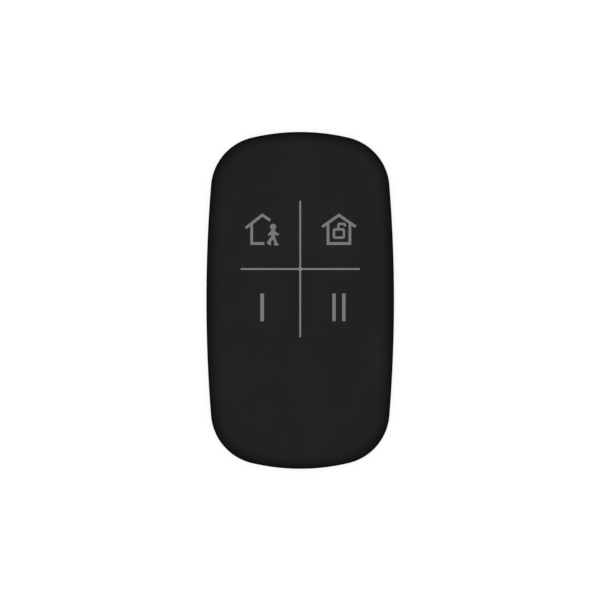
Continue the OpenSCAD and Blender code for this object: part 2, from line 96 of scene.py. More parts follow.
# Key field, keys and the snap domes under them
pad_w, pad_l, pad_y = 22.8 * mm, 26.1 * mm, 6 * mm
pad_mid, pad_corner_r = (0, pad_y), 6 * mm
field_gap, key_gap = 0.1 * mm, 0.02 * mm
cross_half = 0.17 * mm
key_x, key_y, key_travel = 7.35 * mm, 7.45 * mm, 0.4 * mm
key_wall, key_rib = 1.1 * mm, 0.8 * mm
key_tip_r, key_flank_r = 0.32 * mm, 0.2 * mm
flange_w, flange_t, flange_in = 0.8 * mm, 0.9 * mm, 0.05 * mm
flange_z = ceiling_z - flange_t
plunger_r, plunger_bevel = 1.7 * mm, 0.15 * mm
stem_top_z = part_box("arm_stem")[1].z
sides = {"arm": (-1, 1), "disarm": (1, 1), "function_one": (-1, -1), "function_two": (1, -1)}
key_places = {name: (sx * key_x, pad_y + sy * key_y) for name, (sx, sy) in sides.items()}
dome_sheet = 0.08 * mm

# Frame round the flanges, and the stakes that hold the light guide
frame_gap, frame_t = 1.1 * mm, 1.2 * mm
frame_reach = frame_gap + frame_t
guide_top_z, stake_low_z, stake_r = 9.4 * mm, 8.3 * mm, 0.4 * mm

# Screws
screw_places = [(-10.4 * mm, 23.4 * mm), (10.4 * mm, 23.4 * mm), (0, -25.8 * mm)]
screw_turns = [20, -35, 65]
screw_low_z, screw_top_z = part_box("cover_screws")[0].z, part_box("cover_screws")[1].z
head_r, head_h, head_round = 1.8 * mm, 1.3 * mm, 0.4 * mm
head_top_z = screw_low_z + head_h
shank_r, shank_tip, thread_depth = 1 * mm, 0.3 * mm, 3.5 * mm
drive_w, drive_arm, drive_depth, drive_taper = 0.5 * mm, 0.62 * mm, 0.75 * mm, 0.55
recess_r, bore_r = 2 * mm, 1.15 * mm
rear_boss_r, front_boss_r = 2.8 * mm, 2.3 * mm

# Coin cell's seat
cell_mid, cell_seat_r = (0, -11 * mm), 10.3 * mm
cell_wall_t, cell_wall_h, clip_slot = 1.2 * mm, 2.8 * mm, 7.6 * mm

# Lanyard notch and pin
pin_r, pin_bevel, pin_inset, pin_z = 1 * mm, 0.15 * mm, 2.3 * mm, 2.6 * mm
pin_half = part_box("lanyard_pin")[1].x
pin_mid = (0, half_l - pin_inset, pin_z)
notch_half, notch_depth, notch_corner_r = 5 * mm, 6.5 * mm, 1.2 * mm
notch_wall, notch_roof = 1.2 * mm, 0.85 * mm
notch_y, notch_top_z = half_l - notch_depth, rear_rim_z - notch_roof
block_half, block_y, block_end_y = 7.2 * mm, notch_y - notch_wall, half_l - wall

# Tolerances of modelling: one point, one height, level, a clean cut, and a crease in shading
weld, slack, level, fine_cut = 0.0005 * mm, 0.002 * mm, 0.99, 0.0001 * mm
crease = math.radians(32)


# Work by hand: small steps that every piece is made with

def deselect():
    """Nothing selected, in object mode."""
    if bpy.context.object and bpy.context.object.mode != "OBJECT":
        bpy.ops.object.mode_set(mode="OBJECT")
    bpy.ops.object.select_all(action="DESELECT")


def take(piece):
    """Only this piece selected and active."""
    deselect()
    piece.select_set(True)
    bpy.context.view_layer.objects.active = piece


def discard(piece):
    """Delete a piece that has been used up."""
    take(piece)
    bpy.ops.object.delete()


def settle(name):
    """Name a new primitive and put its place into its mesh."""
    piece = bpy.context.object
    piece.name = piece.data.name = name
    bpy.ops.object.transform_apply(location=True, rotation=True, scale=True)
    return piece


def pick(piece, kind, test):
    """Edit mode with the faces, edges or points selected that pass a test of their place."""
    take(piece)
    bpy.ops.object.mode_set(mode="EDIT")
    bpy.ops.mesh.select_mode(type=kind)
    bpy.ops.mesh.select_all(action="DESELECT")
    bpy.ops.object.mode_set(mode="OBJECT")
    points = piece.data.vertices
    if kind == "FACE":
        for face in piece.data.polygons:
            face.select = test(face.center, face.normal)
    if kind == "EDGE":
        for edge in piece.data.edges:
            edge.select = test(points[edge.vertices[0]].co, points[edge.vertices[1]].co)
    if kind == "VERT":
        for point in points:
            point.select = test(point.co)
    bpy.ops.object.mode_set(mode="EDIT")


def pick_all(piece):
    """Edit mode with the whole mesh selected."""
    take(piece)
    bpy.ops.object.mode_set(mode="EDIT")
    bpy.ops.mesh.select_all(action="SELECT")


def near(a, b):
    """Whether two places along an axis are the same."""
    return abs(a - b) < slack


def pick_level(piece, z, up):
    """The level faces at a height that look up or down."""
    pick(piece, "FACE", lambda c, n: near(c.z, z) and n.z * up > level)


def bevel_edges(piece, test, size, steps):
    """Bevel the edges whose ends pass a test."""
    pick(piece, "EDGE", test)
    bpy.ops.mesh.bevel(offset=size, segments=steps, affect="EDGES")
    deselect()


def bevel_at(piece, z, size, steps):
    """Bevel the edges that lie at a height."""
    bevel_edges(piece, lambda p, q: near(p.z, z) and near(q.z, z), size, steps)


def pull(x=0, y=0, z=0):
    """Extrude what is selected."""
    bpy.ops.mesh.extrude_region_move(TRANSFORM_OT_translate={"value": (x, y, z)})


def step_in(inset, rise=0):
    """Inset the selected face and raise it along its own direction."""
    bpy.ops.mesh.inset(thickness=inset, depth=rise, use_even_offset=True)


def follow(path):
    """Lead the selected face along a path of (inset, rise), as a moulding's edge runs."""
    for (inset, rise), (next_inset, next_rise) in zip(path, path[1:]):
        step_in(next_inset - inset, next_rise - rise)


def outward(piece):
    """Merge doubles and turn all faces outwards."""
    pick_all(piece)
    bpy.ops.mesh.remove_doubles(threshold=weld)
    bpy.ops.mesh.normals_make_consistent(inside=False)
    deselect()


def apply(piece, change):
    """Apply a modifier of a piece."""
    take(piece)
    bpy.ops.object.modifier_apply(modifier=change.name)


def combine(piece, other, how):
    """Cut or join a piece with another, which is used up."""
    change = piece.modifiers.new(how.lower(), "BOOLEAN")
    change.object = other
    change.operation = how
    change.solver = "EXACT"
    apply(piece, change)
    discard(other)
    outward(piece)
    return piece


def gather(piece, *others):
    """Several separate bodies made one mesh."""
    take(piece)
    for other in others:
        other.select_set(True)
    bpy.ops.object.join()
    return piece


def copy_of(piece, name):
    """A copy with its own mesh."""
    take(piece)
    bpy.ops.object.duplicate(linked=False)
    copy = bpy.context.object
    copy.name = copy.data.name = name
    return copy


def placed_copy(piece, name, place, turn=0):
    """A copy, turned and moved to its place, of a piece that was modelled in the middle."""
    copy = copy_of(piece, name)
    pick_all(copy)
    if turn:
        bpy.ops.transform.rotate(
            value=math.radians(turn), orient_axis="Z", center_override=(0, 0, 0))
    bpy.ops.transform.translate(value=(*place, 0))
    deselect()
    return copy


def smooth(piece):
    """Smooth shading that keeps sharp edges, and keeps flat faces flat beside small bevels."""
    take(piece)
    bpy.ops.object.shade_smooth_by_angle(angle=crease)
    even = piece.modifiers.new("even", "WEIGHTED_NORMAL")
    even.keep_sharp = True
    apply(piece, even)
    deselect()
    return piece


def start_point(name, place):
    """One loose point to draw a line from, in edit mode."""
    deselect()
    bpy.ops.mesh.primitive_plane_add(size=mm, location=place)
    piece = settle(name)
    bpy.ops.object.mode_set(mode="EDIT")
    bpy.ops.mesh.select_mode(type="VERT")
    bpy.ops.mesh.select_all(action="SELECT")
    bpy.ops.mesh.merge(type="CENTER")
    return piece


def sweep(middle, turn, z, steps):
    """Carry the end of a line round a middle, anticlockwise."""
    bpy.ops.mesh.spin(steps=steps, angle=-turn, center=(*middle, z), axis=(0, 0, 1))


def about(middle, width, height):
    """Lowest and highest corner of a rectangle about a middle."""
    x, y = middle
    return (x - width / 2, y - height / 2), (x + width / 2, y + height / 2)


def sheet_plate(name, low, high, z):
    """A flat rectangle between two corners."""
    deselect()
    middle = ((low[0] + high[0]) / 2, (low[1] + high[1]) / 2, z)
    bpy.ops.mesh.primitive_plane_add(size=1, location=middle)
    bpy.ops.transform.resize(value=(high[0] - low[0], high[1] - low[1], 1))
    return settle(name)


def round_corners(piece, radius, steps, test=lambda p: True):
    """Round the chosen corners of a flat plate."""
    pick(piece, "VERT", test)
    bpy.ops.mesh.bevel(offset=radius, segments=steps, affect="VERTICES", clamp_overlap=False)
    deselect()


def thicken(piece, height):
    """Pull a flat plate up into a closed block."""
    pick_all(piece)
    pull(z=height)
    outward(piece)
    return piece


def square_block(name, low, high, z_low, z_high):
    """Upright block with sharp corners."""
    return thicken(sheet_plate(name, low, high, z_low), z_high - z_low)


def round_block(name, low, high, z_low, z_high, radius, steps):
    """Upright block with round corners."""
    block = sheet_plate(name, low, high, z_low)
    round_corners(block, radius, steps)
    return thicken(block, z_high - z_low)


def post(name, place, radius, z_low, z_high, steps=48):
    """Round upright rod."""
    deselect()
    bpy.ops.mesh.primitive_cylinder_add(
        vertices=steps, radius=radius, depth=z_high - z_low,
        location=(*place, (z_low + z_high) / 2))
    return settle(name)


def cross_rod(name, middle, radius, half, steps=48):
    """Round rod across the fob."""
    deselect()
    bpy.ops.mesh.primitive_cylinder_add(
        vertices=steps, radius=radius, depth=2 * half, location=middle,
        rotation=(0, math.pi / 2, 0))
    return settle(name)


# Shells

def body_block(name, z_low, z_high):
    """Block with the body's outline: side, corner and end arcs, mirrored and filled."""
    block = start_point(name, (half_w, 0, z_low))
    sweep(side_mid, side_turn, z_low, steps=8)
    sweep(corner_mid, end_from - side_turn, z_low, steps=24)
    sweep(end_mid, math.pi / 2 - end_from, z_low, steps=10)
    deselect()
    halves = block.modifiers.new("halves", "MIRROR")
    halves.use_axis = (True, True, False)
    halves.merge_threshold = weld
    apply(block, halves)
    pick_all(block)
    bpy.ops.mesh.remove_doubles(threshold=weld)
    bpy.ops.mesh.edge_face_add()
    return thicken(block, z_high - z_low)


def rolled_edge(edge_w, edge_h, roll_r, slope, edge_steps=18, roll_steps=6):
    """Path from the side wall over a round edge and a slow roll-off to the flat."""
    start = math.atan(edge_w / edge_h * math.tan(slope))
    flat_from = edge_w * (1 - math.sin(start)) + roll_r * math.sin(slope)
    rise = roll_r * (1 - math.cos(slope)) + edge_h * math.cos(start)
    path = []
    for k in range(edge_steps + 1):
        a = math.pi / 2 + (start - math.pi / 2) * k / edge_steps
        path.append((edge_w * (1 - math.sin(a)), edge_h * math.cos(a)))
    for k in range(1, roll_steps + 1):
        a = slope * (1 - k / roll_steps)
        path.append((flat_from - roll_r * math.sin(a), rise - roll_r * (1 - math.cos(a))))
    return path + [(flat_from + flat_ring, rise)]


def inner_fillet(steps=5):
    """Path from an inner wall round to the flat."""
    turns = [math.pi / 2 * k / steps for k in range(steps + 1)]
    return [(inner_r * (1 - math.cos(a)), -inner_r * math.sin(a)) for a in turns]


def front_shell():
    """Front cover: rolled edges, lip into the rear shell, key field and fittings inside."""
    path = rolled_edge(*face_edge)
    shoulder_z = face_z - path[-1][1]
    low_z = front_rim_z + rim_bevel
    shell = body_block("front_shell", low_z, shoulder_z)
    pick_level(shell, shoulder_z, 1)
    follow(path)
    pick_level(shell, low_z, -1)
    step_in(rim_bevel, rim_bevel)
    step_in(wall - lip_t - rim_bevel)
    pull(z=lip_z - front_rim_z)
    step_in(lip_t)
    pull(z=ceiling_z - inner_r - lip_z)
    follow(inner_fillet())
    combine(shell, front_fittings(), "UNION")
    field_w, field_l = pad_w + 2 * field_gap, pad_l + 2 * field_gap
    field = round_block(
        "field", *about(pad_mid, field_w, field_l), flange_z, face_z + cut,
        pad_corner_r + field_gap, steps=24)
    combine(shell, field, "DIFFERENCE")
    room = square_block(
        "room", (-block_half - lip_gap, block_y - lip_gap),
        (block_half + lip_gap, half_l + cut), lip_z - cut, rear_rim_z)
    combine(shell, room, "DIFFERENCE")

    def on_seam(p):
        return (near(p.z, face_z) and abs(p.x) < field_w / 2 + field_gap
                and abs(p.y - pad_y) < field_l / 2 + field_gap)

    bevel_edges(shell, lambda p, q: on_seam(p) and on_seam(q), seam_bevel, steps=2)
    return smooth(shell)


def front_fittings():
    """Frame round the key flanges, stakes for the light guide and bosses for the screws."""
    top_z = ceiling_z + cut
    ring = sheet_plate(
        "frame_ring", *about(pad_mid, pad_w + 2 * frame_reach, pad_l + 2 * frame_reach),
        guide_top_z)
    round_corners(ring, pad_corner_r + frame_reach, steps=12)
    pick_all(ring)
    step_in(frame_t)
    bpy.ops.mesh.delete(type="FACE")
    thicken(ring, top_z - guide_top_z)
    stake_x, stake_y = pad_w / 2 + frame_gap + frame_t / 2, pad_l / 4
    stakes = [post("stake", (sx * stake_x, pad_y + sy * stake_y), stake_r,
                   stake_low_z, guide_top_z + cut, steps=24) for sx, sy in sides.values()]
    combine(ring, gather(*stakes), "UNION")
    bosses = []
    for place in screw_places:
        boss = post("boss", place, front_boss_r, board_top_z, top_z)
        pick_level(boss, board_top_z, -1)
        step_in(front_boss_r - shank_r - snug)
        pull(z=thread_depth)
        bosses.append(boss)
    return combine(ring, gather(*bosses), "UNION")


def rear_shell():
    """Rear cover: rolled edges, ledge for the lip, notch, pin holes and screw recesses."""
    path = rolled_edge(*back_edge)
    shoulder_z = path[-1][1]
    top_z = rear_rim_z - rim_bevel
    ledge = wall - lip_t - lip_gap
    shell = body_block("rear_shell", shoulder_z, top_z)
    pick_level(shell, shoulder_z, -1)
    follow(path)
    pick_level(shell, top_z, 1)
    step_in(rim_bevel, rim_bevel)
    step_in(ledge - rim_bevel)
    pull(z=lip_z - rear_rim_z)
    step_in(wall - ledge)
    pull(z=floor_z + inner_r - lip_z)
    follow(inner_fillet())
    combine(shell, rear_fittings(), "UNION")
    notch = round_block(
        "notch", (-notch_half, notch_y), (notch_half, half_l + 2 * notch_corner_r),
        -cut, notch_top_z, notch_corner_r, steps=10)
    combine(shell, notch, "DIFFERENCE")
    combine(shell, cross_rod("pin_bore", pin_mid, pin_r + snug, pin_half), "DIFFERENCE")
    recesses = [post("recess", p, recess_r, -cut, head_top_z, steps=64) for p in screw_places]
    combine(shell, gather(*recesses), "DIFFERENCE")
    bores = [post("bore", p, bore_r, 0, board_low_z + cut, steps=32) for p in screw_places]
    combine(shell, gather(*bores), "DIFFERENCE")
    return smooth(shell)


def rear_fittings():
    """Notch block, cell seat, switch posts and screw bosses on the back floor."""
    root_z, seat_z = floor_z - floor_root, floor_z + cell_wall_h
    block = square_block(
        "notch_block", (-block_half, block_y), (block_half, block_end_y), root_z, rear_rim_z)
    seat = post("cell_seat", cell_mid, cell_seat_r + cell_wall_t, root_z, seat_z, steps=96)
    well = post("cell_well", cell_mid, cell_seat_r, root_z - cut, seat_z + cut, steps=96)
    combine(seat, well, "DIFFERENCE")
    slot = square_block(
        "clip_slot", *about(cell_mid, 2 * half_w, clip_slot), root_z - cut, seat_z + cut)
    combine(seat, slot, "DIFFERENCE")
    bosses = [post("boss", p, rear_boss_r, root_z, board_low_z, steps=64) for p in screw_places]
    bosses += [post("switch_post", p, plunger_r, root_z, board_low_z, steps=32)
               for p in key_places.values()]
    combine(block, seat, "UNION")
    return combine(block, gather(*bosses), "UNION")


# Keys

def key_plate(name, low, high, z, tip_r, flank_r, outer_r):
    """Flat plate in the shape of a key, with its tip at the cross."""
    plate = sheet_plate(name, low, high, z)
    round_corners(plate, tip_r, 8, lambda p: near(p.x, low[0]) and near(p.y, low[1]))
    round_corners(plate, outer_r, 32, lambda p: near(p.x, high[0]) and near(p.y, high[1]))
    round_corners(plate, flank_r, 6, lambda p: (near(p.x, low[0]) and near(p.y, high[1]))
                  or (near(p.x, high[0]) and near(p.y, low[1])))
    return plate


def right_upper_key():
    """Hollow key right of the cross and above it, with its flange, ribs and plunger."""
    inset, outset = cross_half + key_gap, field_gap - key_gap
    low = (inset, pad_y + inset)
    high = (pad_w / 2 + outset, pad_y + pad_l / 2 + outset)
    outer_r = pad_corner_r + outset
    foot_z = flange_z + flange_in        # the flange alone makes the underside
    key = key_plate("key", low, high, foot_z, key_tip_r, key_flank_r, outer_r)
    thicken(key, face_z - foot_z)
    flange = key_plate(
        "flange", (low[0] + flange_in, low[1] + flange_in),
        (pad_w / 2 + flange_w, pad_y + pad_l / 2 + flange_w),
        flange_z, key_tip_r, key_flank_r, pad_corner_r + flange_w)
    combine(key, thicken(flange, ceiling_z - snug - flange_z), "UNION")
    pocket = key_plate(
        "pocket", (low[0] + key_wall, low[1] + key_wall),
        (high[0] - key_wall, high[1] - key_wall),
        flange_z - cut, key_wall, key_wall, outer_r - key_wall)
    thicken(pocket, face_z - key_wall - flange_z + cut)
    middle = key_places["disarm"]
    for width, height in ((2 * half_w, key_rib), (key_rib, 2 * half_l)):
        rib = square_block("rib", *about(middle, width, height), flange_z - 2 * cut, face_z)
        combine(pocket, rib, "DIFFERENCE")
    combine(key, pocket, "DIFFERENCE")
    plunger = post("plunger", middle, plunger_r, stem_top_z, face_z - key_wall / 2)
    bevel_at(plunger, stem_top_z, plunger_bevel, steps=3)
    combine(key, plunger, "UNION")
    bevel_at(key, face_z, seam_bevel, steps=2)
    return key


def mirrored_key(model, name, sx, sy):
    """A copy of the first key on its own side of the cross."""
    key = copy_of(model, name)
    pick_all(key)
    bpy.ops.transform.resize(value=(sx, sy, 1), center_override=(*pad_mid, 0))
    if sx * sy < 0:
        bpy.ops.mesh.flip_normals()
    return smooth(key)


# Printed signs, rooted a little in their keys, with their tops just above them

def bar(name, place, width, height, ease=0.06 * mm):
    """Printed bar about a middle."""
    flat = sheet_plate(name, *about(place, width, height), ink_low_z)
    round_corners(flat, ease, steps=3)
    return thicken(flat, ink_h)


def trace(name, points):
    """Thin line along points."""
    line = start_point(name, (*points[0], ink_low_z))
    for (ax, ay), (bx, by) in zip(points, points[1:]):
        pull(x=bx - ax, y=by - ay)
    return line


def broaden(line, width):
    """A thin line pulled up into a ribbon and given its width, with mitred corners."""
    pick_all(line)
    pull(z=ink_h)
    deselect()
    stroke = line.modifiers.new("stroke", "SOLIDIFY")
    stroke.thickness = width
    stroke.offset = 0
    stroke.use_even_offset = True
    apply(line, stroke)
    outward(line)
    return line


def drawn_line(name, points, width):
    """Printed line of one width along points."""
    return broaden(trace(name, points), width)


def drawn_shape(name, points, ease):
    """Printed shape inside a closed line, with its corners eased."""
    shape = trace(name, points)
    pick_all(shape)
    bpy.ops.mesh.edge_face_add()
    round_corners(shape, ease, steps=3)
    return thicken(shape, ink_h)


def sign_points(place, points):
    """Points in millimetres about the middle of a key, in the frame."""
    return [(place[0] + x * mm, place[1] + y * mm) for x, y in points]


def arm_sign(place):
    """House with its right side open, and a person walking out of it."""
    roof = sign_points(place, [(-3.075, 0.393), (0.118, 2.868), (1.621, 1.846)])
    walls = sign_points(place, [(-1.932, 1.2), (-1.932, -2.577), (0.493, -2.577)])
    head, = sign_points(place, [(2.17, 0.6)])
    figure = sign_points(place, [
        (1.93, 0.16), (1.76, -0.17), (1.13, -0.84), (1.34, -1.17), (1.68, -0.88), (1.84, -1.0),
        (1.76, -1.34), (1.4, -1.78), (0.95, -2.38), (1.16, -2.68), (1.62, -2.97), (1.82, -2.84),
        (1.74, -2.34), (1.96, -1.92), (2.26, -1.92), (2.36, -2.3), (2.33, -2.84), (2.43, -2.95),
        (3.1, -2.95), (3.25, -2.8), (2.88, -2.28), (2.64, -1.63), (2.54, -1.15), (2.54, -0.8),
        (2.86, -1.05), (3.34, -0.93), (3.24, -0.7), (2.7, -0.38), (2.53, -0.17), (2.36, 0.16)])
    roof_w, wall_w, figure_ease, figure_head_r = 0.525 * mm, 0.53 * mm, 0.05 * mm, 0.6 * mm
    sign = drawn_line("arm_sign", roof, roof_w)
    combine(sign, drawn_line("walls", walls, wall_w), "UNION")
    person = drawn_shape("person", figure, figure_ease)
    combine(person, post("head", head, figure_head_r, ink_low_z, ink_top_z, steps=40), "UNION")
    return gather(sign, person)


def disarm_sign(place):
    """House with an open padlock in it."""
    roof = sign_points(place, [(-3.156, 0.6), (0.067, 2.85), (3.269, 0.63)])
    walls = sign_points(
        place, [(-2.036, 1.18), (-2.036, -2.574), (2.153, -2.574), (2.153, 1.18)])
    body, hole, foot = sign_points(place, [(0.05, -0.649), (0.05, -0.659), (-0.043, 0.25)])
    roof_w, wall_w, shackle_w = 0.535 * mm, 0.526 * mm, 0.46 * mm
    body_w, body_h, body_r = 2.364 * mm, 2.037 * mm, 0.45 * mm
    hole_w, hole_h, hole_r = 1.468 * mm, 1.118 * mm, 0.16 * mm
    leg, turn_r, span, fall = 0.703 * mm, 0.25 * mm, 0.738 * mm, 0.263 * mm
    sign = drawn_line("disarm_sign", roof, roof_w)
    combine(sign, drawn_line("walls", walls, wall_w), "UNION")
    lock = bar("lock", body, body_w, body_h, body_r)
    window = round_block(
        "window", *about(hole, hole_w, hole_h), face_z - cut, face_z + cut, hole_r, steps=4)
    combine(lock, window, "DIFFERENCE")
    shackle = start_point("shackle", (*foot, ink_low_z))
    pull(y=leg)
    sweep((foot[0] + turn_r, foot[1] + leg), -math.pi / 2, ink_low_z, steps=8)
    pull(x=span)
    sweep((foot[0] + turn_r + span, foot[1] + leg), -math.pi / 2, ink_low_z, steps=8)
    pull(y=-fall)
    combine(lock, broaden(shackle, shackle_w), "UNION")
    return gather(sign, lock)


def one_sign(place):
    """One upright bar."""
    middle, = sign_points(place, [(0.073, 0.115)])
    return bar("function_one_sign", middle, 0.714 * mm, 5.3 * mm)


def two_sign(place):
    """Two upright bars."""
    left, right = sign_points(place, [(-0.876, 0.115), (0.994, 0.115)])
    bar_w, bar_h = 0.65 * mm, 5.3 * mm
    return gather(
        bar("function_two_sign", left, bar_w, bar_h), bar("second_bar", right, bar_w, bar_h))


# Fittings

def steel_pin():
    """Lanyard pin with eased ends, pressed into the rear shell."""
    pin = cross_rod("steel_pin", pin_mid, pin_r, pin_half, steps=64)
    bevel_edges(pin, lambda p, q: near(p.x, q.x), pin_bevel, steps=3)
    return smooth(pin)


def pan_head_screw():
    """Screw with its round head below, and a tapered cross recess in the head."""
    screw = post("screw", (0, 0), head_r, screw_low_z, head_top_z, steps=64)
    bevel_at(screw, screw_low_z, head_round, steps=5)
    pick_level(screw, head_top_z, 1)
    step_in(head_r - shank_r)
    pull(z=screw_top_z - head_top_z - shank_tip)
    step_in(shank_tip, shank_tip)
    deselect()
    bpy.ops.mesh.primitive_cube_add(
        size=drive_w, location=(0, 0, screw_low_z + (drive_depth - cut) / 2))
    bpy.ops.transform.resize(value=(1, 1, (drive_depth + cut) / drive_w))
    cross = settle("cross_recess")
    pick(cross, "FACE", lambda c, n: abs(n.z) < level)
    bpy.ops.mesh.extrude_faces_move(TRANSFORM_OT_shrink_fatten={"value": drive_arm})
    pick(cross, "VERT", lambda p: p.z > screw_low_z)
    bpy.ops.transform.resize(
        value=(drive_taper, drive_taper, 1), center_override=(0, 0, screw_low_z + drive_depth))
    outward(cross)
    combine(screw, cross, "DIFFERENCE")
    return smooth(screw)


def back_screws():
    """The three screws that are seen in the back."""
    screw = pan_head_screw()
    screws = gather(*[placed_copy(screw, "back_screws", place, turn)
                      for place, turn in zip(screw_places, screw_turns)])
    discard(screw)
    return screws


def snap_dome():
    """Snap dome of a switch: a thin cap with a flat rim, cut from a ball."""
    low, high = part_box("arm_dome")
    rim_r, rise = (high.x - low.x) / 2, high.z - low.z
    ball_r = (rim_r ** 2 + rise ** 2) / (2 * rise)
    deselect()
    bpy.ops.mesh.primitive_uv_sphere_add(
        segments=32, ring_count=64, radius=ball_r, location=(0, 0, high.z - ball_r))
    dome = settle("snap_dome")

    def cut_off_below(z, fill):
        pick_all(dome)
        bpy.ops.mesh.bisect(
            plane_co=(0, 0, z), plane_no=(0, 0, 1), clear_inner=True, use_fill=fill,
            threshold=fine_cut)
        deselect()

    cut_off_below(low.z - 2 * dome_sheet, False)
    sheet = dome.modifiers.new("sheet", "SOLIDIFY")
    sheet.thickness = dome_sheet
    sheet.offset = -1
    apply(dome, sheet)
    cut_off_below(low.z, True)
    return smooth(dome)


# Materials

def feed(tree, value, socket):
    """Set a socket to a number, or link an output to it."""
    if isinstance(value, (int, float)):
        socket.default_value = value
    else:
        tree.links.new(value, socket)


def new_group(name, inputs, outputs):
    """Node group with named inputs and outputs, on the piece's own coordinates."""
    group = bpy.data.node_groups.new(name, "ShaderNodeTree")
    number = "NodeSocketFloat"
    for label, value in inputs.items():
        socket = group.interface.new_socket(label, in_out="INPUT", socket_type=number)
        socket.default_value = value
    for label in outputs:
        group.interface.new_socket(label, in_out="OUTPUT", socket_type=number)
    source = group.nodes.new("NodeGroupInput").outputs
    result = group.nodes.new("NodeGroupOutput").inputs
    place = group.nodes.new("ShaderNodeTexCoord").outputs["Object"]
    return group, source, result, place


def noise(tree, place, scale, detail, rough):
    """Cloudy pattern."""
    node = tree.nodes.new("ShaderNodeTexNoise")
    feed(tree, place, node.inputs["Vector"])
    feed(tree, scale, node.inputs["Scale"])
    feed(tree, detail, node.inputs["Detail"])
    feed(tree, rough, node.inputs["Roughness"])
    return node.outputs["Fac"]


def maths(tree, how, *values):
    """Arithmetic on two or three values."""
    node = tree.nodes.new("ShaderNodeMath")
    node.operation = how
    for socket, value in zip(node.inputs, values):
        feed(tree, value, socket)
    return node.outputs[0]


def moulded_grain_group():
    """Fine spark-eroded grain of a moulding tool, with slow shifts in its gloss."""
    group, source, result, place = new_group(
        "moulded_grain", {"Grains per metre": 5000, "Shifts per metre": 120},
        ["Height", "Mottle"])
    fine = noise(group, place, source["Grains per metre"], 3.0, 0.6)
    pits = group.nodes.new("ShaderNodeTexVoronoi")
    pits.feature = "SMOOTH_F1"
    feed(group, place, pits.inputs["Vector"])
    feed(group, source["Grains per metre"], pits.inputs["Scale"])
    height = maths(group, "MULTIPLY_ADD", pits.outputs["Distance"], 0.5, fine)
    feed(group, height, result["Height"])
    feed(group, noise(group, place, source["Shifts per metre"], 4.0, 0.6), result["Mottle"])
    return group


def brushed_metal_group():
    """Fine lines along one direction and slow patches, as on drawn or rolled metal."""
    group, source, result, place = new_group(
        "brushed_metal", {"Lines per metre": 9000, "Patches per metre": 250},
        ["Lines", "Patches"])
    stretch = group.nodes.new("ShaderNodeMapping")
    stretch.inputs["Scale"].default_value = (0.04, 1, 1)
    feed(group, place, stretch.inputs["Vector"])
    drawn = noise(group, stretch.outputs["Vector"], source["Lines per metre"], 3.0, 0.6)
    feed(group, drawn, result["Lines"])
    feed(group, noise(group, place, source["Patches per metre"], 3.0, 0.55), result["Patches"])
    return group


grain_group = moulded_grain_group()
brushed_group = brushed_metal_group()
mask_low, mask_high = 0.3, 0.7
grain_strength, line_strength, line_depth = 0.3, 0.15, 0.005 * mm


def blend_colours(tree, mask, dark, light):
    """Colour between two shades, by a mask."""
    ramp = tree.nodes.new("ShaderNodeValToRGB")
    stops = ramp.color_ramp.elements
    stops[0].position, stops[1].position = mask_low, mask_high
    stops[0].color, stops[1].color = (*dark, 1), (*light, 1)
    feed(tree, mask, ramp.inputs["Fac"])
    return ramp.outputs["Color"]


def spread(tree, mask, low, high):
    """Value between two limits, by a mask."""
    node = tree.nodes.new("ShaderNodeMapRange")
    feed(tree, mask, node.inputs["Value"])
    feed(tree, mask_low, node.inputs["From Min"])
    feed(tree, mask_high, node.inputs["From Max"])
    feed(tree, low, node.inputs["To Min"])
    feed(tree, high, node.inputs["To Max"])
    return node.outputs["Result"]


def bump(tree, height, depth, strength):
    """Fine relief."""
    node = tree.nodes.new("ShaderNodeBump")
    feed(tree, strength, node.inputs["Strength"])
    feed(tree, depth, node.inputs["Distance"])
    feed(tree, height, node.inputs["Height"])
    return node.outputs["Normal"]


def new_material(name, group, values):
    """Material with its shader and one of the shared groups placed in it."""
    material = bpy.data.materials.new(name)
    material.use_nodes = True
    tree = material.node_tree
    effect = tree.nodes.new("ShaderNodeGroup")
    effect.node_tree = group
    for label, value in values.items():
        effect.inputs[label].default_value = value
    return material, tree, tree.nodes["Principled BSDF"].inputs, effect.outputs


def plastic(name, dark, light, rough, grains=5000, depth=0.01 * mm, specular=0.5):
    """Moulded plastic with a grained surface."""
    material, tree, shader, grain = new_material(name, grain_group, {"Grains per metre": grains})
    feed(tree, blend_colours(tree, grain["Mottle"], dark, light), shader["Base Color"])
    feed(tree, spread(tree, grain["Mottle"], *rough), shader["Roughness"])
    feed(tree, bump(tree, grain["Height"], depth, grain_strength), shader["Normal"])
    shader["Specular IOR Level"].default_value = specular
    return material


def metal(name, dark, light, rough, lines=9000):
    """Metal with drawn lines and slow patches."""
    material, tree, shader, brush = new_material(name, brushed_group, {"Lines per metre": lines})
    feed(tree, blend_colours(tree, brush["Patches"], dark, light), shader["Base Color"])
    feed(tree, spread(tree, brush["Lines"], *rough), shader["Roughness"])
    feed(tree, bump(tree, brush["Lines"], line_depth, line_strength), shader["Normal"])
    shader["Metallic"].default_value = 1
    return material


def grey(a):
    """Colour without a hue."""
    return (a, a, a)


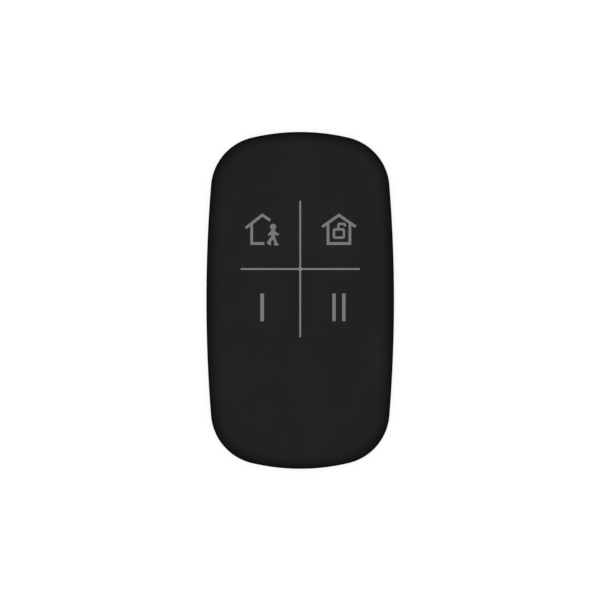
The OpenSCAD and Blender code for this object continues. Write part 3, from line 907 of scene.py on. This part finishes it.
shell_shades = (0.0149, 0.015, 0.0154), (0.0181, 0.0182, 0.0185)
key_shades = (0.0156, 0.0157, 0.0161), (0.0185, 0.0186, 0.0189)
shell_black = plastic("soft_black_shell", *shell_shades, (0.72, 0.86), specular=0.0)
rear_black = plastic("satin_black_rear", *shell_shades, (0.5, 0.64), specular=0.18)
key_black = plastic("soft_black_key", *key_shades, (0.74, 0.88), grains=6500, specular=0.0)
sign_grey = plastic(
    "grey_print", grey(0.168), grey(0.19), (0.6, 0.75),
    grains=9000, depth=0.003 * mm, specular=0.1)
guide_grey = plastic(
    "grey_light_guide", grey(0.17), grey(0.192), (0.45, 0.6),
    grains=7000, depth=0.004 * mm, specular=0.1)
pin_steel = metal("drawn_steel", (0.36, 0.36, 0.37), (0.5, 0.5, 0.5), (0.24, 0.4))
screw_zinc = metal("dark_zinc_screw", (0.1, 0.1, 0.105), (0.17, 0.17, 0.175), (0.3, 0.5))
spring_steel = metal("spring_steel", (0.52, 0.52, 0.53), (0.68, 0.68, 0.68), (0.18, 0.32))
cell_nickel = metal("nickel_can", (0.6, 0.59, 0.57), (0.72, 0.71, 0.69), (0.16, 0.3))
contact_gold = metal("gold_plate", (0.78, 0.56, 0.2), (0.9, 0.68, 0.3), (0.18, 0.3))
antenna_copper = metal("etched_copper", (0.6, 0.3, 0.15), (0.75, 0.4, 0.22), (0.25, 0.42))
board_mask = plastic(
    "green_solder_mask", (0.008, 0.07, 0.03), (0.014, 0.11, 0.05), (0.25, 0.4), grains=1500)
chip_epoxy = plastic("chip_epoxy", grey(0.01), grey(0.018), (0.45, 0.6), grains=12000)
part_ceramic = plastic(
    "chip_part_ceramic", (0.2, 0.13, 0.07), (0.32, 0.22, 0.13), (0.35, 0.5), grains=4000)
switch_nylon = plastic("switch_nylon", grey(0.008), grey(0.014), (0.5, 0.65), grains=8000)
stem_acetal = plastic(
    "stem_acetal", (0.6, 0.57, 0.49), (0.7, 0.67, 0.6), (0.35, 0.5), grains=8000)
led_resin = plastic("led_resin", (0.72, 0.66, 0.45), (0.84, 0.8, 0.62), (0.2, 0.35), grains=6000)


# The fob put together

def clad(piece, material):
    """Give a piece its only material."""
    piece.data.materials.clear()
    piece.data.materials.append(material)


def fit(piece, material, body, node=None):
    """Give a piece its finish, its body and the CAD node that it stands for."""
    clad(piece, material)
    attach(piece, body)
    if node:
        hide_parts(node)


fit(front_shell(), shell_black, "housing", "front_cover")
fit(rear_shell(), rear_black, "housing", "rear_cover")

model_key, model_dome = right_upper_key(), snap_dome()
signs = {"arm": arm_sign, "disarm": disarm_sign, "function_one": one_sign, "function_two": two_sign}
for name, place in key_places.items():
    cap = mirrored_key(model_key, name + "_cap", *sides[name])
    fit(cap, key_black, name + "_key", name + "_key")
    fit(signs[name](place), sign_grey, name + "_key")
    dome = placed_copy(model_dome, name + "_snap_dome", place)
    fit(dome, spring_steel, "housing", name + "_dome")
    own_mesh(dome)
    clad(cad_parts[name + "_stem"], stem_acetal)
    clad(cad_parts[name + "_switch_plate"], spring_steel)
    clad(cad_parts[name + "_switch_base"], switch_nylon)
discard(model_key)
discard(model_dome)

fit(steel_pin(), pin_steel, "housing", "lanyard_pin")
fit(back_screws(), screw_zinc, "housing", "cover_screws")

node_finishes = {
    "light_guide": guide_grey, "circuit_board": board_mask, "status_led": led_resin,
    "radio_chip": chip_epoxy, "crystal": cell_nickel, "chip_parts": part_ceramic,
    "antenna": antenna_copper, "coin_cell": cell_nickel, "cell_clip": spring_steel,
    "cell_contact": contact_gold}
for node, material in node_finishes.items():
    clad(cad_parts[node], material)

# Studio: a pale floor, white surroundings and one soft lamp above
floor_size, floor_shade, floor_lift = 3, 0.24, 0.82
shadow_fill = 0.03
lamp_height, lamp_size, lamp_power = 1.6, 1.0, 26

# Camera straight above the face, with the width and the middle of its picture at the joint
lens_mm, sensor_mm = 800, 36
picture_w, picture_mid = 115.05 * mm, (-0.04 * mm, 0.07 * mm)


def seen_directly(tree):
    """1 for rays from the camera, from a mirror or through glass."""
    path = tree.nodes.new("ShaderNodeLightPath").outputs
    shiny = maths(tree, "MAXIMUM", path["Is Glossy Ray"], path["Is Transmission Ray"])
    return maths(tree, "MAXIMUM", path["Is Camera Ray"], shiny)


def studio_floor():
    """Pale floor: white to the camera and in reflections, with the fob's soft shadow on it."""
    deselect()
    bpy.ops.mesh.primitive_plane_add(size=floor_size, location=(0, 0, 0))
    floor = settle("studio_floor")
    material = bpy.data.materials.new("pale_floor")
    material.use_nodes = True
    tree = material.node_tree
    tree.nodes.remove(tree.nodes["Principled BSDF"])
    board = tree.nodes.new("ShaderNodeBsdfDiffuse")
    board.inputs["Color"].default_value = (*grey(floor_shade), 1)
    lift = tree.nodes.new("ShaderNodeEmission")
    lift.inputs["Strength"].default_value = floor_lift
    dark = tree.nodes.new("ShaderNodeEmission")
    dark.inputs["Strength"].default_value = 0
    choice = tree.nodes.new("ShaderNodeMixShader")
    feed(tree, seen_directly(tree), choice.inputs["Fac"])
    feed(tree, dark.outputs[0], choice.inputs[1])
    feed(tree, lift.outputs[0], choice.inputs[2])
    total = tree.nodes.new("ShaderNodeAddShader")
    feed(tree, board.outputs[0], total.inputs[0])
    feed(tree, choice.outputs[0], total.inputs[1])
    feed(tree, total.outputs[0], tree.nodes["Material Output"].inputs["Surface"])
    floor.data.materials.append(material)


def studio_world():
    """White surroundings to the eye, which fill the shadows by a part of that."""
    world = bpy.data.worlds.new("white_studio")
    bpy.context.scene.world = world
    world.use_nodes = True
    tree = world.node_tree
    light = maths(tree, "MULTIPLY_ADD", seen_directly(tree), 1 - shadow_fill, shadow_fill)
    feed(tree, light, tree.nodes["Background"].inputs["Strength"])
    tree.nodes["Background"].inputs["Color"].default_value = (1, 1, 1, 1)


def soft_box():
    """Round soft lamp above the fob."""
    lamp = bpy.data.lights.new("soft_box", "AREA")
    lamp.shape = "DISK"
    lamp.size = lamp_size
    lamp.energy = lamp_power
    box = bpy.data.objects.new("soft_box", lamp)
    box.location = (0, 0, lamp_height)
    box.visible_camera = False
    bpy.context.scene.collection.objects.link(box)


studio_floor()
studio_world()
soft_box()

camera = bpy.data.objects.new("camera", bpy.data.cameras.new("camera"))
camera.data.lens = lens_mm
camera.data.sensor_width = sensor_mm
camera.location = (*picture_mid, joint_z + picture_w * lens_mm / sensor_mm)
bpy.context.scene.collection.objects.link(camera)
bpy.context.scene.camera = camera
bpy.context.scene.view_settings.view_transform = "Standard"
